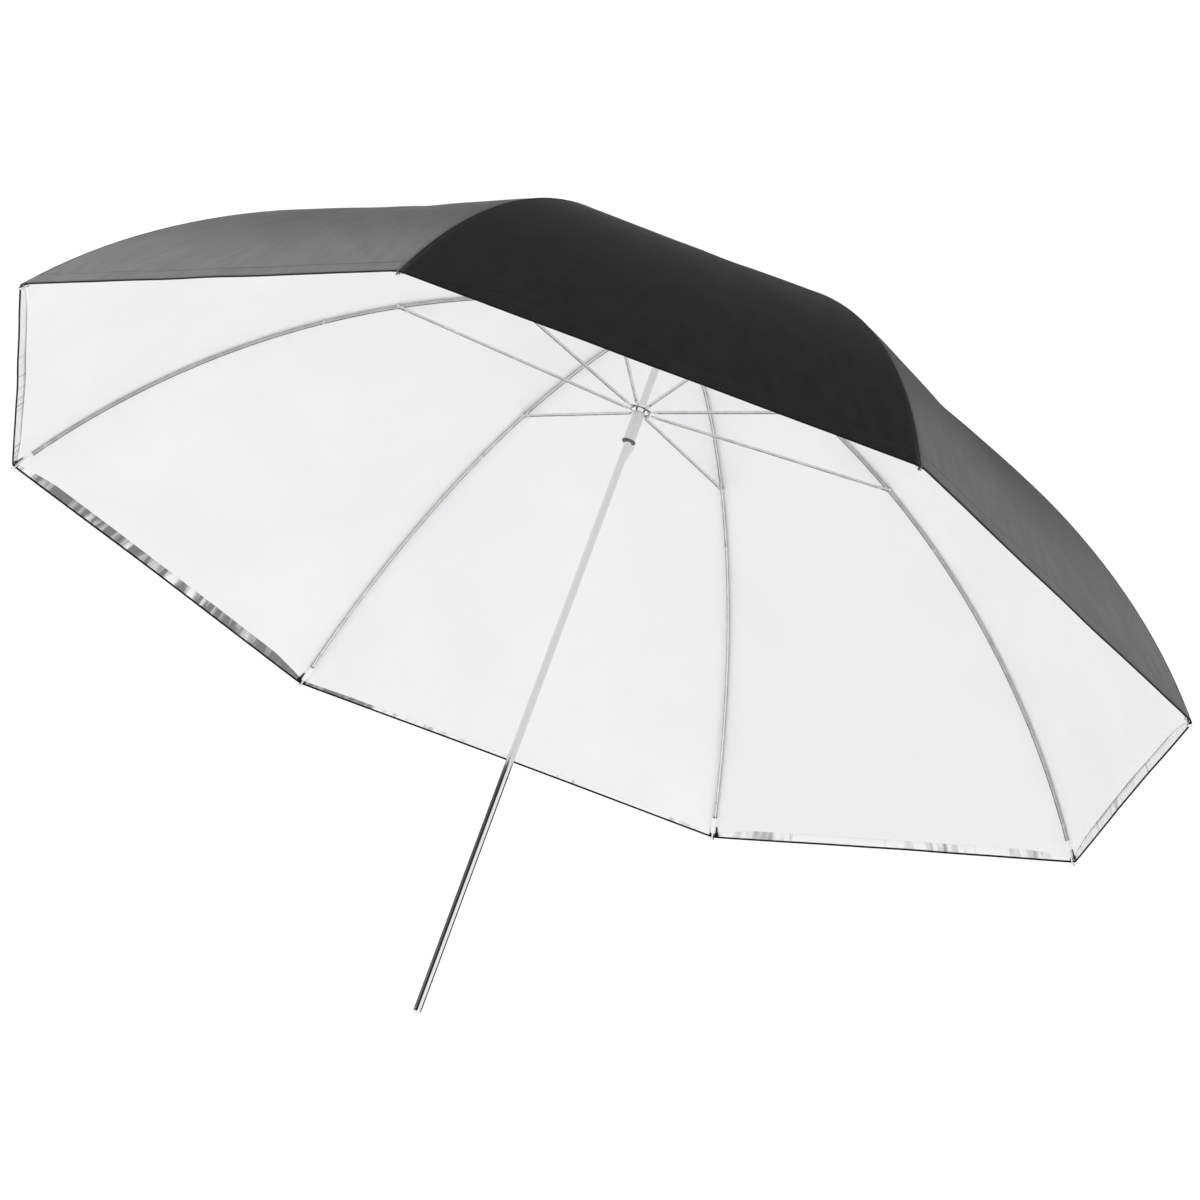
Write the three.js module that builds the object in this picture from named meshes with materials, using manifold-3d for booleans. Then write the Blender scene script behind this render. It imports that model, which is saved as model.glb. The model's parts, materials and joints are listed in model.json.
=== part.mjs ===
// Folding umbrella reflector: a white canopy with a black, silver-lined cover on an eight-rib sprung frame.
// Millimetres. +Z runs up the shaft to the crown, and the origin is the centre of the shaft's bottom end.
import * as THREE from 'three';
import { mergeVertices } from 'three/addons/utils/BufferGeometryUtils.js';
import Module from 'manifold-3d';

const wasm = await Module();
wasm.setup();

// Driving dimensions
const RIBS = 8;
const FIRST_RIB = Math.PI / RIBS;      // ribs stand either side of the X axis
const TIP_R = 650;                     // shaft axis to the rim, at a rib
const DOME = 328;                      // rim plane to the crown
const RIM_Z = 473;                     // shaft end to the rim plane
const ARC_R = (TIP_R ** 2 + DOME ** 2) / (2 * DOME);
const ARC_Z = RIM_Z + DOME - ARC_R;    // height of the ribs' arc centre
const JOINT_R = 299;                   // radius at which a stretcher meets its rib
const PIVOT_R = 9.2;                   // radius of the ring of pivots in the notch and the runner
const RUNNER_Z = 681;                  // height of the runner's ring of pivots, open
const GAP = 0.3;                       // clearance between pieces

const SHAFT_R = 4;
const SHAFT_WALL = 0.7;
const SLEEVE_R = 6.2;
const SLEEVE_BOTTOM = 644;
const HUB_R = 11;
const HUB_HALF = 3.5;
const NOTCH_TOP = 1.8;                 // top of the notch above the ribs' arc, under the cloth
const STEM_R = 5.2;                    // stem of the notch that passes through the cloth
const STEM_HEIGHT = 12;
const SLOT = 1.8;                      // slot in a hub, and the tongue that turns in it
const TONGUE = 1.2;
const CATCH_SLOT = 2.4;                // seam of the runner, which clears the catch
const CATCH_T = 1.6;
const CATCH_TOP = 642;
const CATCH_LENGTH = 26;

const CHANNEL_W = 3.2;                 // ribs and stretchers are folded steel channels
const CHANNEL_H = 2.6;
const CHANNEL_WALL = 0.55;
const STRETCHER_H = 2.2;
const RIB_END = TIP_R - 4.5;           // where the channel stops and the tip begins
const RIB_ROOT = 7.2;                  // length of a rib's tongue between its pivot and its channel
const KNUCKLE = 2.3;                   // how far the inner rib runs past its joint
const CHEEK_T = 0.5;
const CHEEK_R = 1.9;

const FABRIC_T = 1.2;
const LAYER_GAP = 0.4;                 // between the white canopy and the black cover
const FABRIC_LIFT = 3;                 // rib centre line to the underside of the white canopy
const CANOPY_EDGE = 638;
const COVER_EDGE = 651;
const CROWN_HOLE = 6;
const CLOTH_RINGS = 10;                // rings of facets on the cloth domes
const SAG = 0.012;                     // how far the cloth draws in between ribs, as a part of its radius

const steel = { color: 0xb9bcbf, roughness: 0.32, metalness: 0.9 };
const chrome = { color: 0xe2e4e6, roughness: 0.12, metalness: 1 };
const satin = { color: 0xc9cbcd, roughness: 0.4, metalness: 0.8 };
const plastic = { color: 0x1c1c1e, roughness: 0.5, metalness: 0 };
const whiteCloth = { color: 0xf2f2f4, roughness: 0.9, metalness: 0 };
const blackCloth = { color: 0x232325, roughness: 0.75, metalness: 0 };

const arcHeight = (radius) => ARC_Z + Math.sqrt(ARC_R ** 2 - radius ** 2);
const arcAngle = (radius) => Math.acos(radius / ARC_R);

// Solids and booleans
function solid(geometry) {
  const bare = geometry.clone();
  bare.deleteAttribute('normal');
  bare.deleteAttribute('uv');
  const merged = mergeVertices(bare.index ? bare.toNonIndexed() : bare, 1e-4);
  return new wasm.Manifold(new wasm.Mesh({
    numProp: 3,
    vertProperties: new Float32Array(merged.attributes.position.array),
    triVerts: new Uint32Array(merged.index.array),
  }));
}

function geometryOf(manifold) {
  const mesh = manifold.getMesh();
  const geometry = new THREE.BufferGeometry();
  geometry.setAttribute('position', new THREE.BufferAttribute(mesh.vertProperties, 3));
  geometry.setIndex(new THREE.BufferAttribute(mesh.triVerts, 1));
  return geometry;
}

function box(x, y, z, centre) {
  return solid(new THREE.BoxGeometry(x, y, z).translate(...centre));
}

// A cylinder along Y, centred on the plane of a rib
function pin(radius, length, x, z, sides = 10) {
  return solid(new THREE.CylinderGeometry(radius, radius, length, sides).translate(x, 0, z));
}

// A profile of [radius, height] points turned round the Z axis
function turned(points, sides = 20) {
  const profile = points.map(([radius, height]) => new THREE.Vector2(radius, height));
  return new THREE.LatheGeometry(profile, sides).rotateX(Math.PI / 2);
}

// A side outline in the plane of a rib, given its width across that plane
function plate(shape, width, curveSegments) {
  const geometry = new THREE.ExtrudeGeometry(shape, { depth: width, bevelEnabled: false, curveSegments });
  return solid(geometry.translate(0, 0, -width / 2).rotateX(Math.PI / 2));
}

// Group of meshes, and the turn that takes the plane of rib 1 to the plane of rib n
const umbrella = new THREE.Group();

function add(name, geometry, finish, angle = 0) {
  const mesh = new THREE.Mesh(geometry, new THREE.MeshStandardMaterial(finish));
  mesh.name = name;
  mesh.rotation.z = angle;
  umbrella.add(mesh);
}

function addRound(name, geometry, finish) {
  for (let n = 0; n < RIBS; n += 1) {
    add(`${name}_${n + 1}`, geometry, finish, FIRST_RIB + (n * 2 * Math.PI) / RIBS);
  }
}

// Shaft: a plain tube with a long window for the spring catch, and a plug in its bottom end
function shaft() {
  const top = arcHeight(0) + NOTCH_TOP - 2 - GAP;
  const bore = SHAFT_R - SHAFT_WALL;
  const tube = solid(turned([[bore, 4], [SHAFT_R, 4], [SHAFT_R, top], [bore, top], [bore, 4]], 24));
  const length = CATCH_LENGTH + 8;
  return geometryOf(tube.subtract(box(20, CATCH_T + 0.8, length, [10, 0, CATCH_TOP + 2 - length / 2])));
}

function endPlug() {
  const spigot = SHAFT_R - SHAFT_WALL - GAP;
  return turned([[0, 0], [3.2, 0], [SHAFT_R, 0.9], [SHAFT_R, 3.7], [spigot, 3.7], [spigot, 14], [0, 14]]);
}

// A slotted hub: a turned ring with a radial slot for each rib or stretcher and a groove for its wire
function slottedHub(points, centreZ, slotFloor, grooveFloor) {
  let hub = solid(turned(points, 24));
  for (let n = 0; n < RIBS; n += 1) {
    const slot = new THREE.BoxGeometry(20, SLOT, 4 * HUB_HALF).translate(slotFloor + 10, 0, centreZ);
    hub = hub.subtract(solid(slot.rotateZ(FIRST_RIB + (n * 2 * Math.PI) / RIBS)));
  }
  const low = centreZ - 0.8;
  const high = centreZ + 0.8;
  const outer = HUB_R + 2;
  const groove = [[grooveFloor, low], [outer, low], [outer, high], [grooveFloor, high], [grooveFloor, low]];
  return hub.subtract(solid(turned(groove, 24)));
}

function notch() {
  const top = arcHeight(0) + NOTCH_TOP;
  const bottom = top - 2 * HUB_HALF;
  const bore = SHAFT_R + GAP;
  const points = [
    [bore, bottom - 9], [5.6, bottom - 9], [5.6, bottom], [HUB_R, bottom], [HUB_R, top - 0.5],
    [HUB_R - 0.5, top], [STEM_R, top], [STEM_R, top + STEM_HEIGHT], [0, top + STEM_HEIGHT], [0, top - 2],
    [bore, top - 2], [bore, bottom - 9],
  ];
  return geometryOf(slottedHub(points, arcHeight(PIVOT_R), 6.6, PIVOT_R - 0.8));
}

function crownCap() {
  const foot = arcHeight(0) + FABRIC_LIFT + 2 * FABRIC_T + 2 * LAYER_GAP;
  const bore = STEM_R + GAP;
  const ceiling = arcHeight(0) + NOTCH_TOP + STEM_HEIGHT + GAP;
  return turned([
    [bore, foot + 1], [8, foot + 1], [17, foot - 0.1], [17.6, foot + 0.6], [16.5, foot + 2], [10, foot + 4],
    [7.4, foot + 6.5], [6.9, foot + 14], [5, foot + 16], [0, foot + 16.5], [0, ceiling], [bore, ceiling],
    [bore, foot + 1],
  ]);
}

function wireRing(radius, wire, z) {
  return new THREE.TorusGeometry(radius, wire, 5, 24).translate(0, 0, z);
}

// Runner: a rolled sleeve with an open seam, a slotted crown pressed on its top, and the crown's wire
function runnerSleeve() {
  const bore = SHAFT_R + GAP;
  const top = RUNNER_Z + HUB_HALF + 1.5;
  const lip = SLEEVE_BOTTOM + 2.4;
  const points = [
    [bore, SLEEVE_BOTTOM], [6.9, SLEEVE_BOTTOM], [7.3, SLEEVE_BOTTOM + 0.5], [7.3, lip - 0.6], [6.9, lip],
    [SLEEVE_R, lip], [SLEEVE_R, top], [bore, top], [bore, SLEEVE_BOTTOM],
  ];
  return geometryOf(solid(turned(points, 24)).subtract(seam()));
}

function runnerCrown() {
  const bottom = RUNNER_Z - HUB_HALF;
  const top = RUNNER_Z + HUB_HALF;
  const bore = SLEEVE_R + GAP;
  const points = [
    [bore, bottom], [HUB_R - 1, bottom], [HUB_R, bottom + 0.8], [HUB_R, top - 0.8], [HUB_R - 1, top],
    [bore, top], [bore, bottom],
  ];
  return geometryOf(slottedHub(points, RUNNER_Z, 7.2, 7.35).subtract(seam()));
}

function runnerWire() {
  return geometryOf(solid(wireRing(7.72, 0.3, RUNNER_Z)).subtract(seam()));
}

function seam() {
  return box(20, CATCH_SLOT, 60, [10, 0, RUNNER_Z - 15]);
}

// Spring catch: a leaf that leans out of the shaft's window under the runner
function springCatch() {
  const foot = CATCH_TOP - CATCH_LENGTH;
  const outline = new THREE.Shape();
  outline.moveTo(0.6, foot - 4);
  outline.lineTo(2.4, foot - 4);
  outline.lineTo(3.6, foot + 3);
  outline.lineTo(7.7, CATCH_TOP - 2.5);
  outline.quadraticCurveTo(8.2, CATCH_TOP, 6.8, CATCH_TOP);
  outline.lineTo(2.4, CATCH_TOP);
  outline.lineTo(0.6, foot + 3);
  outline.closePath();
  return geometryOf(plate(outline, CATCH_T, 3));
}

// A strip that follows the ribs' arc between two radii, from a low to a high offset from its centre line
function arcStrip(fromR, toR, low, high, width, segments) {
  const [start, end] = [arcAngle(fromR), arcAngle(toR)];
  const shape = new THREE.Shape();
  shape.absarc(0, ARC_Z, ARC_R + high, start, end, true);
  shape.absarc(0, ARC_Z, ARC_R + low, end, start, false);
  shape.closePath();
  return plate(shape, width, segments);
}

// A rib is a channel, open towards the inside of the umbrella
function ribChannel(fromR, toR, segments) {
  const half = CHANNEL_H / 2;
  const body = arcStrip(fromR, toR, -half, half, CHANNEL_W, segments);
  const hollow = arcStrip(fromR, toR, -half - 1, half - CHANNEL_WALL, CHANNEL_W - 2 * CHANNEL_WALL, segments);
  return body.subtract(hollow);
}

function innerRib() {
  const jointZ = arcHeight(JOINT_R);
  const end = JOINT_R + KNUCKLE * Math.sin(arcAngle(JOINT_R));
  const start = PIVOT_R + RIB_ROOT;
  const channel = ribChannel(start, end, 6).subtract(pin(1.2, 10, JOINT_R, jointZ));
  const rounding = pin(KNUCKLE, 10, JOINT_R, jointZ, 16);
  const tail = arcStrip(JOINT_R, JOINT_R + 6, -4, 4, 10, 1);
  const tongue = arcStrip(PIVOT_R, start + 3, -1.25, 0.9, TONGUE, 2)
    .add(pin(1.9, TONGUE, PIVOT_R, arcHeight(PIVOT_R), 12))
    .subtract(pin(0.85, 10, PIVOT_R, arcHeight(PIVOT_R)));
  const web = arcStrip(start + 0.2, start + 3, -1.25, 1, CHANNEL_W - CHANNEL_WALL, 1);
  return geometryOf(channel.subtract(tail.subtract(rounding)).add(tongue).add(web));
}

function outerRib() {
  const knee = pin(KNUCKLE + GAP, 10, JOINT_R, arcHeight(JOINT_R), 16);
  return geometryOf(ribChannel(JOINT_R, RIB_END, 8).subtract(knee));
}

// Rib tip: a short ferrule over the end of the rib that ends in a ball
function ribTip() {
  const endR = RIB_END + GAP;
  const profile = [[0, 0], [1.5, 0], [1.5, 2], [1, 3.2], [1, 7.4], [2, 8.4], [2, 10.4], [1.2, 11.6], [0, 12]];
  const slope = Math.PI / 2 + Math.asin(endR / ARC_R);
  const tip = turned(profile, 8).rotateY(slope);
  return tip.translate(endR, 0, arcHeight(endR));
}

function rivet() {
  const half = CHANNEL_W / 2 + 2 * GAP + CHEEK_T;
  const [x, z] = [JOINT_R, arcHeight(JOINT_R)];
  const shank = pin(0.8, 2 * half, x, z, 8);
  const heads = [-1, 1].map((side) => solid(
    new THREE.CylinderGeometry(1.6, 1.6, 0.6, 10).translate(x, side * (half + 0.25), z),
  ));
  return geometryOf(shank.add(heads[0]).add(heads[1]));
}

// Stretcher: a straight channel with a tongue for the runner and two cheeks that straddle the rib
function stretcher() {
  const start = new THREE.Vector2(PIVOT_R, RUNNER_Z);
  const end = new THREE.Vector2(JOINT_R, arcHeight(JOINT_R));
  const length = start.distanceTo(end);
  const half = STRETCHER_H / 2;
  const channelEnd = length - 9;
  const channel = box(channelEnd - 6, CHANNEL_W, STRETCHER_H, [(channelEnd + 6) / 2, 0, 0])
    .subtract(box(channelEnd, CHANNEL_W - 2 * CHANNEL_WALL, STRETCHER_H, [channelEnd / 2, 0, -CHANNEL_WALL]));
  const tongue = box(10, TONGUE, 1.8, [5, 0, 0]).add(pin(0.9, TONGUE, 0, 0));
  const root = box(2, CHANNEL_W - CHANNEL_WALL, 2 * half - 0.2, [8, 0, 0]);
  const inner = CHANNEL_W + 2 * GAP;
  const outer = inner + 2 * CHEEK_T;
  const fork = box(13, outer, STRETCHER_H, [length - 6.5, 0, 0]).add(pin(CHEEK_R, outer, length, 0, 12))
    .subtract(box(20, inner, 20, [length + 0.8, 0, 0]))
    .subtract(pin(1.1, 10, length, 0));
  const straight = channel.add(tongue).add(root).add(fork);
  const rise = Math.atan2(end.y - start.y, end.x - start.x);
  return geometryOf(straight).rotateY(-rise).translate(start.x, 0, start.y);
}

// Cloth dome: an eight-sided shell that runs straight from rib to rib and draws in a little between them
function dome(lift, edgeR) {
  const radii = [CROWN_HOLE];
  for (let n = 1; n <= CLOTH_RINGS; n += 1) {
    radii.push(ARC_R * Math.sin((n / CLOTH_RINGS) * Math.asin(CANOPY_EDGE / ARC_R)));
  }
  if (edgeR > CANOPY_EDGE) radii.push(edgeR);
  const inner = radii.map((radius) => overArc(radius, lift));
  const outer = radii.map((radius) => overArc(radius, lift + FABRIC_T)).reverse();
  const profile = [...inner, ...outer, inner[0].clone()];
  const geometry = new THREE.LatheGeometry(profile, 2 * RIBS, FIRST_RIB).rotateX(Math.PI / 2);
  drawInBetweenRibs(geometry);
  return geometry;
}

// The point that stands over the ribs' arc, at a radius of the arc and an offset square to it
function overArc(radius, offset) {
  const angle = arcAngle(radius);
  return new THREE.Vector2((ARC_R + offset) * Math.cos(angle), ARC_Z + (ARC_R + offset) * Math.sin(angle));
}

function drawInBetweenRibs(geometry) {
  const gore = (2 * Math.PI) / RIBS;
  const position = geometry.attributes.position;
  for (let i = 0; i < position.count; i += 1) {
    const [x, y] = [position.getX(i), position.getY(i)];
    const fromRib = ((Math.atan2(y, x) - FIRST_RIB) % gore + gore) % gore;
    const chord = Math.cos(gore / 2) / Math.cos(fromRib - gore / 2);
    const drawn = chord - SAG * Math.sin((Math.PI * fromRib) / gore) ** 2;
    position.setX(i, x * drawn);
    position.setY(i, y * drawn);
  }
}

add('shaft', shaft(), satin);
add('shaft_end_plug', endPlug(), chrome);
add('top_notch', notch(), chrome);
add('notch_wire', wireRing(PIVOT_R, 0.5, arcHeight(PIVOT_R)), steel);
add('crown_cap', crownCap(), plastic);
add('spring_catch', springCatch(), steel);
add('runner_sleeve', runnerSleeve(), satin);
add('runner_crown', runnerCrown(), chrome);
add('runner_wire', runnerWire(), steel);
addRound('rib_inner', innerRib(), steel);
addRound('rib_outer', outerRib(), steel);
addRound('rib_tip', ribTip(), chrome);
addRound('stretcher', stretcher(), steel);
addRound('joint_rivet', rivet(), chrome);
add('white_canopy', dome(FABRIC_LIFT, CANOPY_EDGE), whiteCloth);
add('black_cover', dome(FABRIC_LIFT + FABRIC_T + LAYER_GAP, COVER_EDGE), blackCloth);

export default umbrella;
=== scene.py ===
import json
import math
import random
import bpy
import numpy as np
from mathutils import Matrix, Vector


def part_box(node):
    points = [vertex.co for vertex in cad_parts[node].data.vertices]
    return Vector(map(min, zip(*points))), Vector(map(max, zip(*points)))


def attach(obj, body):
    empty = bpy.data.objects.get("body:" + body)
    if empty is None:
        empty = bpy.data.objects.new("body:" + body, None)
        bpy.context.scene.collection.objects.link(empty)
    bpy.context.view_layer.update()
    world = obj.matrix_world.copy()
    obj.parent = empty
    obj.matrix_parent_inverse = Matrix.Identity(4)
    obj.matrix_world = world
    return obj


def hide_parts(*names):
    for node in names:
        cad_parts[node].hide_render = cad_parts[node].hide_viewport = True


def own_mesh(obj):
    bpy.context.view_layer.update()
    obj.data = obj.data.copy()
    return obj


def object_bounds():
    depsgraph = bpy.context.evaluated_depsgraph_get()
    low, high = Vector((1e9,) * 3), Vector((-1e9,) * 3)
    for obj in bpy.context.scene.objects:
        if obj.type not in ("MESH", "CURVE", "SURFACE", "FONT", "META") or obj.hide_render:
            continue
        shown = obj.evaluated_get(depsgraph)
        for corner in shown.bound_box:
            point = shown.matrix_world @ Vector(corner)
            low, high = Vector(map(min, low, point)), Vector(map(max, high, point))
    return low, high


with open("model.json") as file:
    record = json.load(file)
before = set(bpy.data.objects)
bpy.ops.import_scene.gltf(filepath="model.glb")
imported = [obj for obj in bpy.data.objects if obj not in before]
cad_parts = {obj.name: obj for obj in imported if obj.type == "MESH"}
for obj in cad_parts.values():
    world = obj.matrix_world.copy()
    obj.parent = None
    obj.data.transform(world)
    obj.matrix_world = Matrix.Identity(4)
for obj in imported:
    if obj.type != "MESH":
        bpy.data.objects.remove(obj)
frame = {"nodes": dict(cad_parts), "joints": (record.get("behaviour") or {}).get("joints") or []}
cad_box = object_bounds()

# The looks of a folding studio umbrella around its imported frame. Metres, +Z up the shaft to the crown.
# Everything is placed in the plane of a rib: a radius from the shaft, a height, and a turn about the shaft.

MM = 0.001
RIBS = range(1, 9)
GORE = math.tau / len(RIBS)
JOINTS = {joint["name"]: joint for joint in frame["joints"]}


def azimuth(n):
    x, y, _ = JOINTS[f"rib_flex_{n}"]["pos_m"]
    return math.atan2(y, x)


def radius_and_height(name):
    x, y, z = JOINTS[name]["pos_m"]
    return math.hypot(x, y), z


# The ribs' arc, centred on the shaft's axis, through the pivot in the notch and the stretcher joint
pivot_r, pivot_z = radius_and_height("rib_hinge_1")
joint_r, joint_z = radius_and_height("rib_flex_1")
arc_z = (math.hypot(joint_r, joint_z) ** 2 - math.hypot(pivot_r, pivot_z) ** 2) / (2 * (joint_z - pivot_z))
arc_r = math.hypot(pivot_r, pivot_z - arc_z)
# The cloth layers, as heights above the centre line of a rib: over most of its length, and at the hem
WHITE_LIFT, WHITE_HEM_LIFT = 3.1 * MM, 2.1 * MM
COVER_LIFT, COVER_HEM_LIFT = 5.0 * MM, 2.8 * MM
RIM_TAPER = 90 * MM               # over which the cloth comes down from the one to the other
CLOTH = 0.25 * MM                 # thickness of each layer
# The cloth's edges, as radii on the ribs' arc
CAD_COVER_TOP = 5.8 * MM          # the outer face of the plain cover
cover_edge = cad_box[1].x / math.cos(GORE / 2) * arc_r / (arc_r + CAD_COVER_TOP)
WHITE_EDGE = cover_edge - 2.6 * MM
CROWN_HOLE = 6 * MM
# By gore, each between a rib and the next: the silver that shows past the white hem, and the draw-in
SILVER_BAND = tuple(width * MM for width in (6, 3, 6.5, 5, 5, 5, 5, 6))
SAG = (0.012, 0.012, 0.012, 0.012, 0.012, 0.012, 0.026, 0.012)
STRAIGHTENS_FROM = 380 * MM       # from here the draw-in fades, so that the hems are nearly straight
RIB_ROUNDING = 2.5 * MM           # how wide the bend of the cloth over a rib is
# The flap: the outer cloth runs in past the joint, behind the inner cloth
FLAP = 28 * MM
FLAP_FROM, FLAP_RISE = 0.2, 0.4   # where it starts beside the rib and grows to its length, as shares across
TUCK, TUCK_RISE = 0.45 * MM, 3.5 * MM
# The share of its width that a petal keeps when the umbrella is folded
CLOSED_KEEP_INNER = 0.18
CLOSED_KEEP_OUTER = 0.10
# How finely the petals are divided
COLUMNS = 15                      # on each side of the rib
INNER_ROWS, OUTER_ROWS = 20, 26
# Small parts
TIE_RADII = 374 * MM, 626 * MM
WIDE_PATCH, NARROW_PATCH = 5 * MM, 2 * MM
WIDE_PATCH_AFTER = (3, 4, 5)      # the ribs whose wide patch lies on the side of the next rib


# Camera and stage
CAMERA_AT = (-0.0268, -4.4797, -1.1897)
HEADING, CLIMB, ROLL = math.radians(-0.71), math.radians(20.34), math.radians(20.25)
LENS = 141.2
FLOOR_Z = -1.9
PAPER = 1.05                      # brightness of the backdrop, as seen
AMBIENT = 1.12                    # light from all round on matt surfaces
GLOSS = 1.55                      # brightness of the studio walls, in reflections


def camera():
    """Looks up into the umbrella from below its rim, rolled so that the shaft leans to the left."""
    data = bpy.data.cameras.new("camera")
    data.sensor_width = 36
    data.lens = LENS
    data.clip_end = 60
    cam = bpy.data.objects.new("camera", data)
    bpy.context.scene.collection.objects.link(cam)
    bpy.context.scene.camera = cam
    turn = Matrix.Rotation(HEADING, 4, "Z") @ Matrix.Rotation(math.pi / 2 + CLIMB, 4, "X")
    cam.matrix_world = Matrix.Translation(CAMERA_AT) @ turn @ Matrix.Rotation(ROLL, 4, "Z")


def area_light(name, at, towards, size, power):
    data = bpy.data.lights.new(name, "AREA")
    data.shape = "RECTANGLE"
    data.size, data.size_y = size
    data.energy = power
    light = bpy.data.objects.new(name, data)
    bpy.context.scene.collection.objects.link(light)
    light.location = at
    light.rotation_euler = (Vector(towards) - Vector(at)).to_track_quat("-Z", "Y").to_euler()


def paper_floor():
    bpy.ops.mesh.primitive_plane_add(size=60, location=(0, 0, FLOOR_Z))
    floor = bpy.context.object
    floor.name = "floor"
    paper = bpy.data.materials.new("floor_paper")
    paper.use_nodes = True
    shader = paper.node_tree.nodes["Principled BSDF"]
    shader.inputs["Base Color"].default_value = (0.86, 0.86, 0.86, 1)
    shader.inputs["Roughness"].default_value = 0.9
    floor.data.materials.append(paper)


def math_node(nodes, links, operation, *terms):
    """The result of a math node, whose terms are numbers or other nodes' results."""
    node = nodes.new("ShaderNodeMath")
    node.operation = operation
    for socket, term in zip(node.inputs, terms):
        if isinstance(term, (int, float)):
            socket.default_value = term
        else:
            links.new(term, socket)
    return node.outputs[0]


def walls():
    """Even light on matt surfaces. Reflections show a ceiling, white walls and black flags."""
    world = bpy.data.worlds.new("studio")
    bpy.context.scene.world = world
    world.use_nodes = True
    nodes, links = world.node_tree.nodes, world.node_tree.links
    background = nodes["Background"]
    background.inputs["Color"].default_value = (1, 1, 1, 1)

    def value(operation, *terms):
        return math_node(nodes, links, operation, *terms)

    def stepped(source, *stops):
        ramp = nodes.new("ShaderNodeValToRGB")
        for _ in stops[2:]:
            ramp.color_ramp.elements.new(0.5)
        for element, (place, bright) in zip(ramp.color_ramp.elements, stops):
            element.position = place
            element.color = (bright, bright, bright, 1)
        links.new(source, ramp.inputs["Fac"])
        return ramp.outputs["Color"]

    towards = nodes.new("ShaderNodeSeparateXYZ")
    links.new(nodes.new("ShaderNodeTexCoord").outputs["Generated"], towards.inputs[0])
    x, y, height = towards.outputs
    # Above: a ceiling that is dark along the middle and fades towards the right
    overhead = stepped(height, (0.0, 0), (0.48, 0), (0.58, 1))
    ceiling = stepped(value("ABSOLUTE", x), (0.0, 0.02), (0.20, 0.02), (0.40, 1))
    towards_right = value("MULTIPLY", value("MAXIMUM", x, 0), 1.2)
    upper = value("MULTIPLY", ceiling, value("SUBTRACT", GLOSS, towards_right))
    # Below: white, but for a wide flag on the left and one behind on the right
    below = value("SUBTRACT", 1, overhead)
    left = stepped(value("MAXIMUM", value("MULTIPLY", x, -1), 0),
                   (0.14, 1), (0.24, 0.02), (0.90, 0.02), (0.97, 0.4))
    behind = stepped(value("ADD", value("MULTIPLY", y, 0.5), 0.5), (0.46, 1), (0.56, 0.02))
    right = value("MAXIMUM", behind, value("LESS_THAN", x, 0))
    lower = value("MULTIPLY", below, value("MULTIPLY", left, right))
    reflected = value("ADD", value("MULTIPLY", overhead, upper), lower)
    ray = nodes.new("ShaderNodeLightPath")
    soft = value("ADD", AMBIENT, value("MULTIPLY", ray.outputs["Is Camera Ray"], PAPER - AMBIENT))
    mix = nodes.new("ShaderNodeMix")
    links.new(ray.outputs["Is Glossy Ray"], mix.inputs["Factor"])
    links.new(soft, mix.inputs["A"])
    links.new(reflected, mix.inputs["B"])
    links.new(mix.outputs["Result"], background.inputs["Strength"])


def studio():
    paper_floor()
    area_light("key", (-2.6, -3.2, 3.2), (0, 0, 0.6), (2.4, 2.4), 30)
    area_light("fill", (2.8, -2.4, -0.6), (0, 0, 0.6), (2.0, 2.0), 12)
    walls()
    bpy.context.scene.view_settings.view_transform = "Standard"


camera()
studio()


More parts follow.
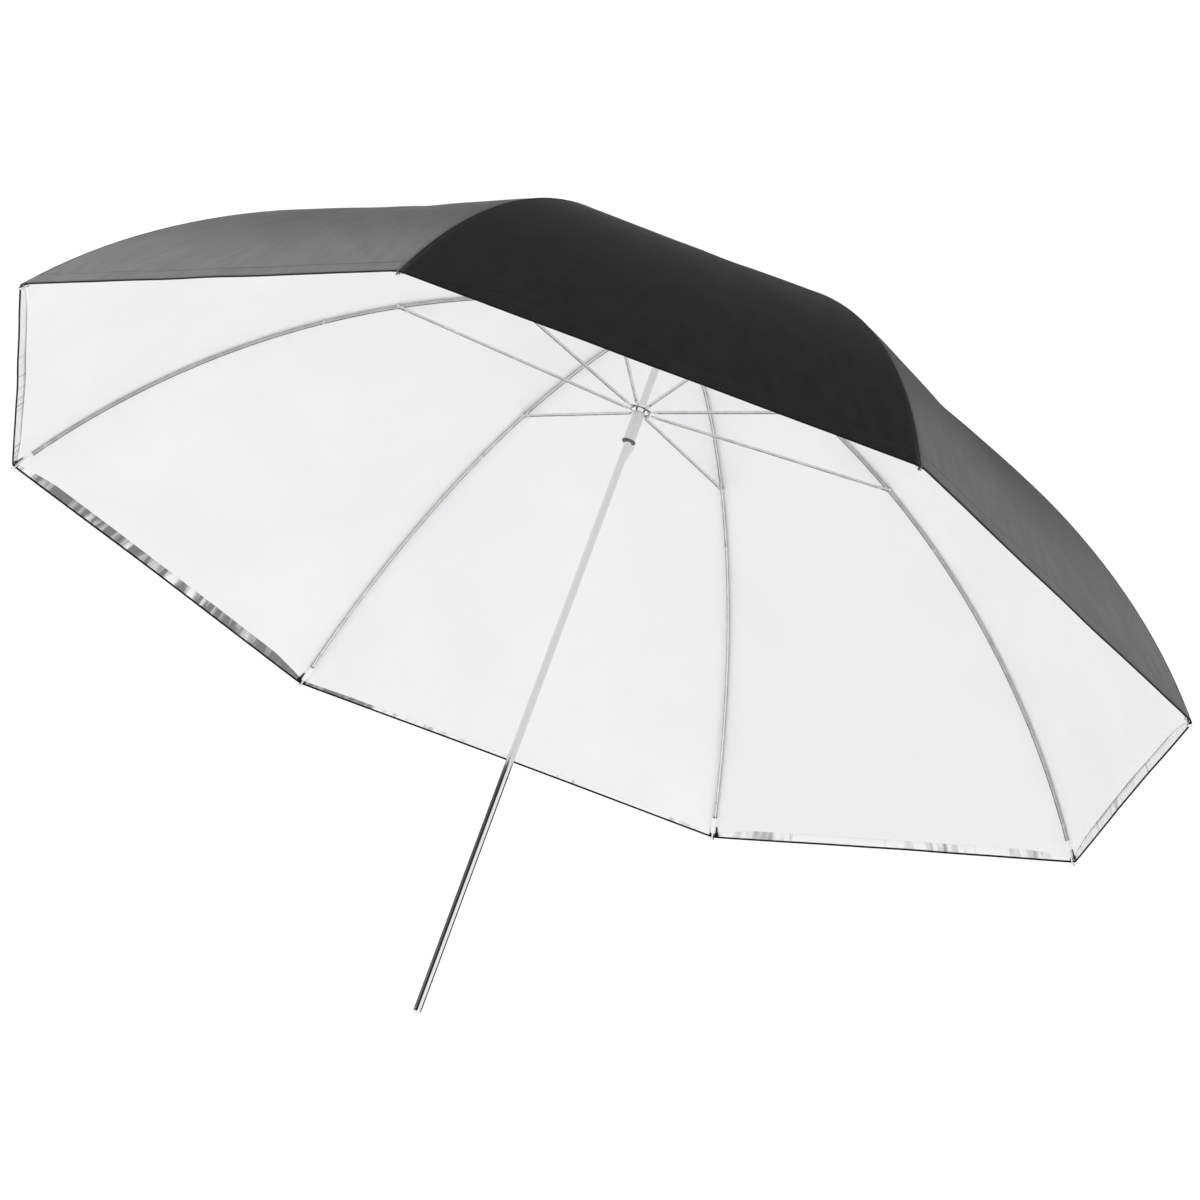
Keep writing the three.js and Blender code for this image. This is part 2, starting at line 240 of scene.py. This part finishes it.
# Materials
class Shader:
    """A material with one Principled shader, and short ways to add textures to it."""

    def __init__(self, name, color, roughness, metallic=0.0, **sockets):
        self.material = bpy.data.materials.new(name)
        self.material.use_nodes = True
        self.nodes, self.links = self.material.node_tree.nodes, self.material.node_tree.links
        self.shader = self.nodes["Principled BSDF"]
        self.shader.inputs["Base Color"].default_value = (*color, 1)
        self.shader.inputs["Roughness"].default_value = roughness
        self.shader.inputs["Metallic"].default_value = metallic
        for socket, value in sockets.items():
            self.shader.inputs[socket.replace("_", " ")].default_value = value
        self.where = self.nodes.new("ShaderNodeTexCoord")
        self.bump = None

    def mapping(self, scale, source):
        node = self.nodes.new("ShaderNodeMapping")
        node.inputs["Scale"].default_value = scale
        self.links.new(self.where.outputs[source], node.inputs["Vector"])
        return node.outputs["Vector"]

    def noise(self, scale, detail, stretch=(1, 1, 1), source="Object", distortion=0.0):
        node = self.nodes.new("ShaderNodeTexNoise")
        node.inputs["Scale"].default_value = scale
        node.inputs["Detail"].default_value = detail
        node.inputs["Distortion"].default_value = distortion
        self.links.new(self.mapping(stretch, source), node.inputs["Vector"])
        return node.outputs["Fac"]

    def weave(self, threads_per_metre):
        """Warp and weft, one over the other, across the flat cloth."""
        bands = []
        for direction in ("X", "Y"):
            node = self.nodes.new("ShaderNodeTexWave")
            node.bands_direction = direction
            node.inputs["Scale"].default_value = threads_per_metre * math.pi / 20
            node.inputs["Distortion"].default_value = 0.6
            node.inputs["Detail"].default_value = 1
            self.links.new(self.mapping((1, 1, 1), "UV"), node.inputs["Vector"])
            bands.append(node.outputs["Fac"])
        return self.math("MULTIPLY", *bands)

    def math(self, operation, a, b):
        return math_node(self.nodes, self.links, operation, a, b)

    def ramp(self, value, low, high, start, end):
        node = self.nodes.new("ShaderNodeValToRGB")
        node.color_ramp.elements[0].position, node.color_ramp.elements[1].position = start, end
        node.color_ramp.elements[0].color = (*low, 1)
        node.color_ramp.elements[1].color = (*high, 1)
        self.links.new(value, node.inputs["Fac"])
        return node.outputs["Color"]

    def color(self, value, low, high, start=0.3, end=0.7):
        self.links.new(self.ramp(value, low, high, start, end), self.shader.inputs["Base Color"])
        return self

    def rough(self, value, low, high):
        self.links.new(self.ramp(value, (low,) * 3, (high,) * 3, 0.3, 0.7), self.shader.inputs["Roughness"])
        return self

    def raise_by(self, value, height, strength):
        node = self.nodes.new("ShaderNodeBump")
        node.inputs["Distance"].default_value = height
        node.inputs["Strength"].default_value = strength
        self.links.new(value, node.inputs["Height"])
        if self.bump is not None:
            self.links.new(self.bump, node.inputs["Normal"])
        self.bump = node.outputs["Normal"]
        self.links.new(self.bump, self.shader.inputs["Normal"])
        return self


def grey(value, blue=1.0):
    return (value, value, value * blue)


def black_cloth():
    cloth = Shader(
        "black_cloth", grey(0.01), 0.42, Specular_IOR_Level=0.5, Sheen_Weight=0.06, Sheen_Roughness=0.3,
    )
    cloth.color(cloth.noise(420, 4), grey(0.004, 1.06), grey(0.010, 1.06))
    cloth.rough(cloth.noise(18, 5, (5, 1, 1), "UV"), 0.35, 0.41)
    cloth.raise_by(cloth.weave(1500), 0.10 * MM, 0.4)
    cloth.raise_by(cloth.noise(9, 4, (5, 1, 1), "UV"), 1.2 * MM, 0.11)
    return cloth.raise_by(cloth.noise(260, 3), 0.20 * MM, 0.35).material


def white_cloth():
    cloth = Shader(
        "white_cloth", grey(0.86), 0.75, Specular_IOR_Level=0.25, Sheen_Weight=0.1, Sheen_Roughness=0.5,
    )
    cloth.color(cloth.noise(9, 4), grey(0.865, 1.012), grey(0.90, 1.008))
    cloth.rough(cloth.noise(60, 4), 0.68, 0.82)
    cloth.raise_by(cloth.weave(1700), 0.08 * MM, 0.4)
    return cloth.raise_by(cloth.noise(16, 4, (1, 5, 1), "UV"), 1.5 * MM, 0.22).material


def silver_lining():
    """Creased foil, with painted shade that darkens it towards the left and the back of the umbrella."""
    foil = Shader("silver_lining", grey(0.80), 0.4, 0.4)
    creases = foil.math("MULTIPLY", foil.noise(64, 2, (1, 0.2, 1), "UV", 1.0), foil.noise(8, 2))
    split = foil.nodes.new("ShaderNodeSeparateXYZ")
    foil.links.new(foil.where.outputs["Object"], split.inputs[0])
    # Painted shade: the foil's colour is made darker towards the left and the back of the umbrella, by object
    # position.
    painted_shade = foil.math("SUBTRACT", foil.math("SUBTRACT", split.outputs["Y"], split.outputs["X"]), 0.68)
    painted_shade = foil.math("MULTIPLY", foil.math("MAXIMUM", painted_shade, 0), 0.9)
    foil.color(foil.math("SUBTRACT", creases, painted_shade), grey(0.20, 1.01), grey(0.92, 1.01), 0.07, 0.21)
    foil.rough(foil.noise(40, 2), 0.36, 0.46)
    return foil.raise_by(foil.noise(50, 1, (1, 0.2, 1), "UV"), 1.5 * MM, 0.3).material


def tape(name, low, high, shine):
    ribbon = Shader(name, grey(low), 0.7, Specular_IOR_Level=shine)
    ribbon.color(ribbon.noise(500, 3), grey(low), grey(high))
    return ribbon.raise_by(ribbon.weave(2200), 0.15 * MM, 0.8).material


EVEN = (1, 1, 1)
DRAWN = (1, 1, 0.02)              # streaks along the shaft


def metal(name, low, high, smooth, dull, grain=EVEN):
    steel = Shader(name, grey(high), smooth, 1.0)
    steel.color(steel.noise(90, 2, grain), grey(low), grey(high))
    return steel.rough(steel.noise(220, 2, grain), smooth, dull).material


def moulded_plastic():
    plastic = Shader("cap_plastic", grey(0.02), 0.4)
    plastic.color(plastic.noise(120, 3), grey(0.012), grey(0.028))
    plastic.rough(plastic.noise(240, 4), 0.36, 0.52)
    return plastic.raise_by(plastic.noise(2600, 2), 0.03 * MM, 0.4).material


def cotton():
    thread = Shader("white_thread", grey(0.85), 0.85, Sheen_Weight=0.3, Sheen_Roughness=0.4)
    thread.color(thread.noise(1500, 3), grey(0.72), grey(0.92))
    return thread.raise_by(thread.noise(3800, 2, (1, 1, 0.2)), 0.1 * MM, 0.8).material


BLACK, WHITE, SILVER = black_cloth(), white_cloth(), silver_lining()
BLACK_TAPE, WHITE_TAPE = tape("black_tape", 0.004, 0.010, 0.1), tape("white_tape", 0.80, 0.90, 0.3)
RIB_STEEL = metal("rib_steel", 0.84, 0.93, 0.24, 0.36)
# Painted shade: a darker copy of the rib steel, for the shaded side walls of the ribs' channel.
RIB_SHADED_WALL = metal("rib_edge", 0.48, 0.60, 0.26, 0.40)
STRETCHER_STEEL = metal("stretcher_steel", 0.64, 0.76, 0.24, 0.36)
DARK_CHROME = metal("dark_chrome", 0.05, 0.10, 0.15, 0.25)
SHAFT_STEEL = metal("shaft_steel", 0.74, 0.82, 0.06, 0.09, DRAWN)
SLEEVE_METAL = metal("sleeve_metal", 0.72, 0.80, 0.26, 0.38, DRAWN)
CHROME = metal("chrome", 0.82, 0.90, 0.05, 0.12)
PLASTIC, THREAD = moulded_plastic(), cotton()


# Mesh work
def turned_to(points, angle):
    """Points in the plane of a rib, turned about the shaft to that rib's azimuth."""
    c, s = math.cos(angle), math.sin(angle)
    x, y, z = np.moveaxis(np.asarray(points, float), -1, 0)
    return np.stack([c * x - s * y, s * x + c * y, z], axis=-1)


def piece(name, points, faces, materials, body, face_materials=None, normals=None, flat_uv=None):
    mesh = bpy.data.meshes.new(name)
    mesh.from_pydata([tuple(p) for p in points], [], faces)
    for material in materials:
        mesh.materials.append(material)
    for k, polygon in enumerate(mesh.polygons):
        polygon.use_smooth = True
        if face_materials is not None:
            polygon.material_index = face_materials[k]
    if flat_uv is not None:
        layer = mesh.uv_layers.new(name="cloth")
        for loop in mesh.loops:
            layer.data[loop.index].uv = flat_uv[loop.vertex_index]
    if normals is not None:
        mesh.normals_split_custom_set(normals)
    made = bpy.data.objects.new(name, mesh)
    bpy.context.scene.collection.objects.link(made)
    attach(made, body)
    return made


def slab(name, rows, cols, place, low, high, materials, body, flat):
    """A thin closed solid over a grid: place(row, col, lift) gives a point, and low(row, col) and
    high(row, col) the lifts of its two faces. The materials are for the first face, the second and the rim.
    flat(row, col) is a point of the flat cloth."""
    row, col = np.meshgrid(rows, cols, indexing="ij")
    step = 1e-5
    sides = []
    for lift in (high, low):
        across = place(row, col + step, lift(row, col + step)) - place(row, col - step, lift(row, col - step))
        along = place(row + step, col, lift(row + step, col)) - place(row - step, col, lift(row - step, col))
        normal = np.cross(along, across)
        normal /= np.linalg.norm(normal, axis=-1, keepdims=True)
        sides.append((place(row, col, lift(row, col)), normal))
    m, n = row.shape
    upper = np.arange(m * n).reshape(m, n)
    lower = upper + m * n
    faces, kinds, ways = [], [], []
    for i in range(m - 1):
        for j in range(n - 1):
            quad = (upper[i, j], upper[i + 1, j], upper[i + 1, j + 1], upper[i, j + 1])
            faces.append(quad)
            faces.append(tuple(lower.flat[v] for v in reversed(quad)))
            kinds += [0, 1]
            ways += [1, -1]
    ring = [(i, 0) for i in range(m)] + [(m - 1, j) for j in range(1, n)]
    ring += [(i, n - 1) for i in range(m - 2, -1, -1)] + [(0, j) for j in range(n - 2, 0, -1)]
    for a, b in zip(ring, ring[1:] + ring[:1]):
        faces.append((upper[a], lower[a], lower[b], upper[b]))
        kinds.append(2)
        ways.append(0)
    points = np.concatenate([side[0].reshape(-1, 3) for side in sides])
    normal_of = np.concatenate([side[1].reshape(-1, 3) for side in sides])
    first = points[list(faces[0])]
    outward = np.cross(first[1] - first[0], first[2] - first[0]) @ (points[0] - points[m * n])
    if outward < 0:
        faces = [tuple(reversed(face)) for face in faces]
    if normal_of[0] @ (points[0] - points[m * n]) < 0:
        normal_of = -normal_of
    loops = []
    for face, way in zip(faces, ways):
        if way:
            loops += [tuple(way * normal_of[v]) for v in face]
        else:
            corner = points[list(face)]
            rim = np.cross(corner[2] - corner[0], corner[3] - corner[1])
            rim /= max(np.linalg.norm(rim), 1e-12)
            loops += [tuple(rim)] * 4
    flat_uv = np.concatenate([np.stack(flat(row, col), axis=-1).reshape(-1, 2)] * 2)
    index = {material: k for k, material in enumerate(dict.fromkeys(materials))}
    face_materials = [index[materials[kind]] for kind in kinds]
    faces = [tuple(int(v) for v in face) for face in faces]
    return piece(name, points, faces, list(index), body, face_materials, loops, flat_uv.tolist())


# Cloth: a gore runs straight from rib to rib and draws in a little between them
class Relief:
    """Soft folds of one cloth layer: pulls that run out from the rib tips, and a broad waviness."""

    PULL_REACH = 0.16

    def __init__(self, seed, depth):
        chance = random.Random(seed)
        self.depth = depth
        self.waves = {n: [self.wave(chance) for _ in range(4)] for n in RIBS}

    @staticmethod
    def wave(chance):
        """Its size, how fast it runs across and along the gore, and its phase."""
        size = chance.uniform(0.5, 1)
        across = chance.uniform(9, 26)
        return size, across, chance.uniform(-5, 5), chance.uniform(0, math.tau)

    def __call__(self, gore, share, radius):
        """Height off the smooth cloth, at a share of the way from one rib to the next."""
        total = np.zeros(np.broadcast(share, radius).shape)
        for size, across, along, phase in self.waves[gore]:
            total = total + size * np.sin(across * (share - 0.5) + along * radius * 8 + phase)
        near_rib = np.sin(np.pi * np.clip(share, 0, 1))
        pull = 0
        for side in (share, 1 - share):
            turn = np.arctan2(side * GORE * radius, np.abs(cover_edge - radius) + 0.02)
            fade = np.exp(-((cover_edge - radius) ** 2 + (side * GORE * radius) ** 2) / self.PULL_REACH ** 2)
            pull = pull + fade * np.sin(turn * 21)
        return self.depth * near_rib ** 2 * (0.5 + 0.16 * total + 0.40 * pull) * np.clip(radius / 0.2, 0, 1)


def gores_beside(n):
    """The gore on each side of a rib: the one before it, and the one after it."""
    return (n - 1 if n > 1 else len(RIBS)), n


def by_side(across, amounts, n):
    """An amount for the gore that a place across the petal of rib n lies in."""
    before, after = gores_beside(n)
    return np.where(across >= 0, amounts[after - 1], amounts[before - 1])


def cloth_place(n, relief):
    """place(radius, across, lift) for the cloth over rib n. The radius follows the rib's arc, and across
    runs from -1 to 1 between the middles of the two gores beside the rib."""
    before, after = gores_beside(n)

    def place(radius, across, lift):
        rounding = RIB_ROUNDING / (np.maximum(radius, 20 * MM) * GORE / 2)
        from_rib = np.sqrt(across ** 2 + rounding ** 2) - rounding * np.clip(1 - across ** 2, 0, 1)
        chord = math.cos(GORE / 2) / np.cos(GORE / 2 * (1 - from_rib))
        taut = np.clip((radius - STRAIGHTENS_FROM) / (cover_edge - STRAIGHTENS_FROM), 0, 1)
        sag = by_side(across, SAG, n) * (1 - 0.9 * taut ** 1.5)
        drawn = chord - sag * np.sin(np.pi / 2 * from_rib) ** 2
        folds = relief(after, across / 2, radius), relief(before, 1 + across / 2, radius)
        out = arc_r + lift + np.where(across >= 0, *folds)
        share = radius / arc_r
        height = arc_z + out * np.sqrt(1 - share ** 2)
        flat_r = out * share * drawn
        angle = across * GORE / 2
        points = np.stack([flat_r * np.cos(angle), flat_r * np.sin(angle), height], axis=-1)
        return turned_to(points, azimuth(n))

    return place


def arc_length(radius):
    return arc_r * np.arcsin(radius / arc_r)


def even(start, end, count):
    """Radii whose steps are even along the rib's arc."""
    a, b = math.asin(start / arc_r), math.asin(end / arc_r)
    return arc_r * np.sin(np.linspace(a, b, count))


def across_steps(count):
    """Columns from one mid-gore line to the next, close together at the rib."""
    half = np.linspace(0, 1, count) ** 1.5
    return np.concatenate([-half[::-1], half[1:]])


def declare(cloth, keep):
    """Gives the petal a mesh of its own, by way of gather."""
    gather(cloth, keep)


def gather(cloth, keep):
    """Gives the cloth its own copy of its mesh."""
    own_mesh(cloth)


def towards_rim(radius, lift, hem_lift):
    """The height of a layer, which comes down onto the rib near the rim."""
    share = np.clip((radius - (cover_edge - RIM_TAPER)) / RIM_TAPER, 0, 1)
    return lift + (hem_lift - lift) * share ** 2


def white_lift(radius):
    return towards_rim(radius, WHITE_LIFT, WHITE_HEM_LIFT)


def cover_lift(radius):
    return towards_rim(radius, COVER_LIFT, COVER_HEM_LIFT)


def tucked(lift, side):
    """The height of the outer cloth, whose flap lies behind the inner cloth."""
    return lambda radius: lift(radius) + side * TUCK * np.clip((joint_r - radius) / TUCK_RISE, 0, 1)


def inner_rows():
    return even(CROWN_HOLE, joint_r, INNER_ROWS)


def outer_rows(last):
    return np.concatenate([joint_r - FLAP * np.array([1, 0.5, 0.14]), even(joint_r, last, OUTER_ROWS)])


def petal(name, n, rows, base, end_of, lift, relief, materials, body, keep, slot):
    """A piece of cloth over one rib, over rows of radii and out to end_of(across). Rows inside the base are
    the flap, which has next to no length at the rib, so that it clears the rib as the joint turns."""
    place = cloth_place(n, relief)
    start, last = float(rows[0]), float(rows[-1])

    def reached(row, col):
        spread = np.clip((np.abs(col) - FLAP_FROM) / FLAP_RISE, 0.02, 1)
        scale = np.where(row < base, spread, (end_of(col) - base) / (last - base))
        return base + (row - base) * scale

    def flat(row, col):
        return row * col * math.sin(GORE / 2), arc_length(np.clip(row, 0, arc_r * 0.99))

    made = slab(
        name, rows, across_steps(COLUMNS),
        lambda row, col, height: place(reached(row, col), col, height),
        lambda row, col: lift(reached(row, col)) - CLOTH / 2,
        lambda row, col: lift(reached(row, col)) + CLOTH / 2,
        materials, body, flat,
    )
    declare(made, keep)
    return made


white_relief = Relief(11, -2.0 * MM)
cover_relief = Relief(5, 1.8 * MM)


def to_joint(across):
    return joint_r + 0 * across


def to_cover_hem(across):
    return cover_edge + 0 * across


def to_white_hem(n):
    """The white hem leaves a band of the cover's silver in sight, and closes on the rim at the ribs."""
    def reach(across):
        band = by_side(across, SILVER_BAND, n)
        return WHITE_EDGE - (band - 2 * MM) * np.clip(np.abs(across) / 0.22, 0, 1) ** 0.7

    return reach


def white_canopy(n):
    rest = white_relief, (WHITE, WHITE, WHITE)
    return (
        petal(f"white_canopy_inner_{n}", n, inner_rows(), CROWN_HOLE, to_joint, white_lift, *rest,
              f"rib_{n}", CLOSED_KEEP_INNER, "white_cloth"),
        petal(f"white_canopy_outer_{n}", n, outer_rows(WHITE_EDGE), joint_r, to_white_hem(n),
              tucked(white_lift, 1), *rest, f"rib_end_{n}", CLOSED_KEEP_OUTER, "white_cloth"),
    )


def black_cover(n):
    rest = cover_relief, (BLACK, SILVER, BLACK)
    return (
        petal(f"black_cover_inner_{n}", n, inner_rows(), CROWN_HOLE, to_joint, cover_lift, *rest,
              f"rib_{n}", CLOSED_KEEP_INNER, "black_cloth"),
        petal(f"black_cover_outer_{n}", n, outer_rows(cover_edge), joint_r, to_cover_hem,
              tucked(cover_lift, -1), *rest, f"rib_end_{n}", CLOSED_KEEP_OUTER, "black_cloth"),
    )


def hem_strip(name, n, inner_edge, outer_edge, lift, half, material):
    """A strip of cloth along the edge of the cover: lift and half are its height and half thickness."""
    made = slab(
        name, np.linspace(inner_edge, outer_edge, 7), across_steps(COLUMNS), cloth_place(n, cover_relief),
        lambda row, col: lift(row) - half(row), lambda row, col: lift(row) + half(row),
        (material, material, material), f"rib_end_{n}",
        lambda row, col: (row * col * math.sin(GORE / 2), row + 0 * col),
    )
    gather(made, CLOSED_KEEP_OUTER)


def rounded(inner_edge, outer_edge, thin, thick):
    """Half thickness of a strip whose long edges are rounded off."""
    def half(row):
        share = np.clip((row - inner_edge) / (outer_edge - inner_edge), 0, 1)
        return thin + (thick - thin) * np.sqrt(np.clip(1 - (2 * share - 1) ** 4, 0, 1))

    return half


def cover_hem(n):
    """The turned-up hem on the outside of the cover, and the black binding folded over its edge."""
    binding = cover_edge - 1.1 * MM, cover_edge + 0.2 * MM
    turning = cover_edge - 13 * MM, cover_edge - 1.3 * MM
    folded_over = rounded(*binding, 0.13 * MM, 0.33 * MM)
    hem_strip(f"cover_binding_{n}", n, *binding, cover_lift, folded_over, BLACK_TAPE)
    turned_up = rounded(*turning, 0.03 * MM, 0.15 * MM)
    hem_strip(f"cover_turning_{n}", n, *turning, lambda row: cover_lift(row) + 0.32 * MM, turned_up, BLACK)


def seam_tape(name, n, start, end, lift, width, height, relief, material, body, slot, rows):
    """A felled seam along a rib: a flat raised strip with rounded edges."""
    cloth = cloth_place(n, relief)

    def place(row, col, high):
        return cloth(row, col / (row * GORE / 2), high)

    def top(row, col):
        return lift(row) + height * (1 - np.clip(np.abs(col) / (width / 2), 0, 1) ** 4)

    made = slab(
        name, even(start, end, rows), np.linspace(-width / 2, width / 2, 7), place,
        lambda row, col: lift(row) - math.copysign(0.02 * MM, height), top,
        (material, material, material), body, lambda row, col: (col + 0 * row, row + 0 * col),
    )
    gather(made, CLOSED_KEEP_INNER if body == f"rib_{n}" else CLOSED_KEEP_OUTER)


SEAM_START = 16 * MM
SEAM_ROWS_INNER, SEAM_ROWS_OUTER = 20, 24


def seam(name, n, edge, slot, *shape):
    """The seam over rib n, in two pieces that meet at the joint."""
    seam_tape(f"{name}_inner_{n}", n, SEAM_START, joint_r, *shape, f"rib_{n}", slot, SEAM_ROWS_INNER)
    seam_tape(f"{name}_outer_{n}", n, joint_r, edge, *shape, f"rib_end_{n}", slot, SEAM_ROWS_OUTER)


def cover_seams(n):
    def surface(radius):
        return cover_lift(radius) + CLOTH / 2

    seam("cover_seam", n, cover_edge, "black_cloth", surface, 3.4 * MM, 0.5 * MM, cover_relief, BLACK)


def white_seams(n):
    def surface(radius):
        return white_lift(radius) - CLOTH / 2

    seam("white_seam", n, WHITE_EDGE, "white_cloth", surface, 7 * MM, -0.3 * MM, white_relief, WHITE_TAPE)


# Small sewn parts along a rib
def on_rib(n, radius, side, height):
    """A point beside a rib: along its arc, to one side, and above its centre line."""
    angle = math.asin(radius / arc_r)
    out = arc_r + height
    return turned_to((out * math.sin(angle), side, arc_z + out * math.cos(angle)), azimuth(n))


def cord(name, points, thickness, material, body):
    """A round cord through the points, with flat ends."""
    sides = 8
    path = np.array(points, float)
    ahead = np.gradient(path, axis=0)
    ahead /= np.linalg.norm(ahead, axis=1, keepdims=True)
    side = np.cross(ahead[0], (0.31, 0.17, 0.93))
    turn = np.arange(sides) * math.tau / sides
    rings = []
    for centre, along in zip(path, ahead):
        side = side - along * (side @ along)
        side /= np.linalg.norm(side)
        up = np.cross(along, side)
        rings.append(centre + thickness / 2 * (np.outer(np.cos(turn), side) + np.outer(np.sin(turn), up)))
    last = (len(path) - 1) * sides
    faces = []
    for here in range(0, last, sides):
        there = here + sides
        for j in range(sides):
            beside = (j + 1) % sides
            faces.append((here + j, here + beside, there + beside, there + j))
    faces.append(tuple(reversed(range(sides))))
    faces.append(tuple(range(last, last + sides)))
    made = piece(name, np.concatenate(rings), faces, [material], body)


def thread_tie(name, n, radius, body):
    """Cotton wound round the rib and through the white cloth: three turns, side by side."""
    turns, steps = 3, 16
    spread, half_width = 2.4 * MM, 2.25 * MM
    above, below = 2.6 * MM, 2.1 * MM
    points = []
    for k in range(turns * steps + 1):
        angle = k / steps * math.tau
        rise = math.sin(angle)
        high = above if rise > 0 else below
        along = radius + (k / (turns * steps) - 0.5) * spread
        height = high * math.copysign(abs(rise) ** 0.6, rise)
        points.append(on_rib(n, along, half_width * math.cos(angle), height))
    cord(name, points, 0.62 * MM, THREAD, body)


def corner_loop(n):
    """Black elastic from the corner of the cover, round behind the ball of the rib tip."""
    points = []
    for k in range(21):
        share = k / 20 * 2 - 1
        out = 1 - abs(share) ** 3
        radius = cover_edge - 3 * MM + out * 4.9 * MM
        height = 2.2 * MM - out * 1.0 * MM
        points.append(on_rib(n, radius, 1.7 * MM * share, height if out < 0.9 else 1.3 * MM))
    cord(f"corner_loop_{n}", points, 0.55 * MM, BLACK_TAPE, f"rib_end_{n}")


def pocket(n):
    """White pocket under the corner of the canopy, which the end of the rib sits in."""
    start, end = WHITE_EDGE - 12 * MM, WHITE_EDGE - 1.2 * MM
    half_width, flat_half, wall = 3.3 * MM, 2.2 * MM, 1.1 * MM

    def place(row, col, high):
        turn = np.pi * (col + 1) / 2
        side = -half_width * np.cos(turn)
        drop = np.where(np.abs(side) < flat_half, 1, np.clip((half_width - np.abs(side)) / wall, 0, 1))
        under = white_lift(row) - CLOTH / 2 - (white_lift(row) + 2.0 * MM) * (3 * drop ** 2 - 2 * drop ** 3)
        angle = np.arcsin(row / arc_r)
        out = arc_r + under + high
        points = np.stack([out * np.sin(angle), side + 0 * row, arc_z + out * np.cos(angle)], -1)
        return turned_to(points, azimuth(n))

    made = slab(
        f"corner_pocket_{n}", np.linspace(start, end, 9), np.linspace(-0.98, 0.98, 25), place,
        lambda row, col: -0.12 * MM + 0 * row, lambda row, col: 0.12 * MM + 0 * row,
        (WHITE, WHITE, WHITE), f"rib_end_{n}", lambda row, col: (col * 5 * MM + 0 * row, row + 0 * col),
    )


def corner_patch(n, side, end_width):
    """Black tab of the elastic, sewn inside the corner of the cover beside the rib."""
    cloth = cloth_place(n, white_relief)
    start, end = cover_edge - 8 * MM, cover_edge - 1.2 * MM
    low, high = 1.35 * MM, 1.65 * MM

    def place(row, col, lift):
        width = end_width * (0.35 + 0.65 * (row - start) / (end - start))
        return cloth(row, (side * (2.2 * MM + col * width)) / (row * GORE / 2), lift)

    made = slab(
        f"corner_patch_{n}_{'after' if side > 0 else 'before'}",
        np.linspace(start, end, 7), np.linspace(0, 1, 5), place,
        lambda row, col: low + 0 * row * col, lambda row, col: high + 0 * row * col,
        (BLACK_TAPE, BLACK_TAPE, BLACK_TAPE), f"rib_end_{n}",
        lambda row, col: (col * 3 * MM + 0 * row, row + 0 * col),
    )


for n in RIBS:
    white_inner, _ = white_canopy(n)
    cover_inner, _ = black_cover(n)
    cover_hem(n)
    cover_seams(n)
    white_seams(n)
    thread_tie(f"thread_tie_{n}", n, TIE_RADII[0], f"rib_end_{n}")
    thread_tie(f"thread_tie_end_{n}", n, TIE_RADII[1], f"rib_end_{n}")
    corner_loop(n)
    pocket(n)
    wide_side = 1 if n in WIDE_PATCH_AFTER else -1
    corner_patch(n, wide_side, WIDE_PATCH)
    corner_patch(n, -wide_side, NARROW_PATCH)
    if n == 1:
        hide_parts("white_canopy")
        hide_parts("black_cover")


# Metal: the CAD solids, with smooth round faces and their finishes, and darker materials on some faces as
# painted shade and a painted dark reflection
FINISHES = {
    "shaft": SHAFT_STEEL, "shaft_end_plug": CHROME, "top_notch": CHROME, "notch_wire": RIB_STEEL,
    "crown_cap": PLASTIC, "spring_catch": SHAFT_STEEL, "runner_sleeve": SLEEVE_METAL,
    "runner_crown": CHROME, "runner_wire": DARK_CHROME,
}
for n in RIBS:
    FINISHES |= {f"rib_inner_{n}": RIB_STEEL, f"rib_outer_{n}": RIB_STEEL, f"stretcher_{n}": STRETCHER_STEEL}
    FINISHES |= {f"rib_tip_{n}": CHROME, f"joint_rivet_{n}": CHROME}


def paint_shade_and_reflection(name, other, shows):
    """Gives some faces of a CAD solid a darker material of their own, for painted shade and painted dark
    reflections: shows(centre, normal) picks them.
    """
    mesh = frame["nodes"][name].data
    mesh.materials.append(other)
    place = frame["nodes"][name].matrix_world
    turn = place.to_3x3()
    for polygon in mesh.polygons:
        polygon.material_index = int(bool(shows(place @ polygon.center, turn @ polygon.normal)))


for name, finish in FINISHES.items():
    mesh = frame["nodes"][name].data
    mesh.materials.clear()
    mesh.materials.append(finish)
    for polygon in mesh.polygons:
        polygon.use_smooth = True
    mesh.set_sharp_from_angle(angle=math.radians(32))

# Painted shade: the side walls of each rib, which face across it, get the darker rib steel.
for n in RIBS:
    across = Vector((-math.sin(azimuth(n)), math.cos(azimuth(n)), 0))
    for name in (f"rib_inner_{n}", f"rib_outer_{n}"):
        paint_shade_and_reflection(name, RIB_SHADED_WALL, lambda centre, normal, across=across: abs(normal @ across) > 0.7)


def in_a_slot(centre, normal):
    """The sides and floors of a hub's slots, which face round the shaft or lie deep in the hub."""
    out = Vector((centre.x, centre.y, 0)).normalized()
    round_shaft = abs(normal @ Vector((-out.y, out.x, 0)))
    return round_shaft > 0.55 or (math.hypot(centre.x, centre.y) < 7 * MM and normal @ out > 0.5)


# Painted shade: the sides and floors of the slots in the runner's crown and the top notch get dark chrome.
for name in ("runner_crown", "top_notch"):
    paint_shade_and_reflection(name, DARK_CHROME, in_a_slot)
# Painted reflection: the foot of the runner's lip gets dark chrome, for the dark reflection that this chrome
# shows.
lip_foot = min(corner.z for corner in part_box("runner_sleeve"))
paint_shade_and_reflection("runner_sleeve", DARK_CHROME, lambda centre, normal: centre.z < lip_foot + 1.1 * MM)
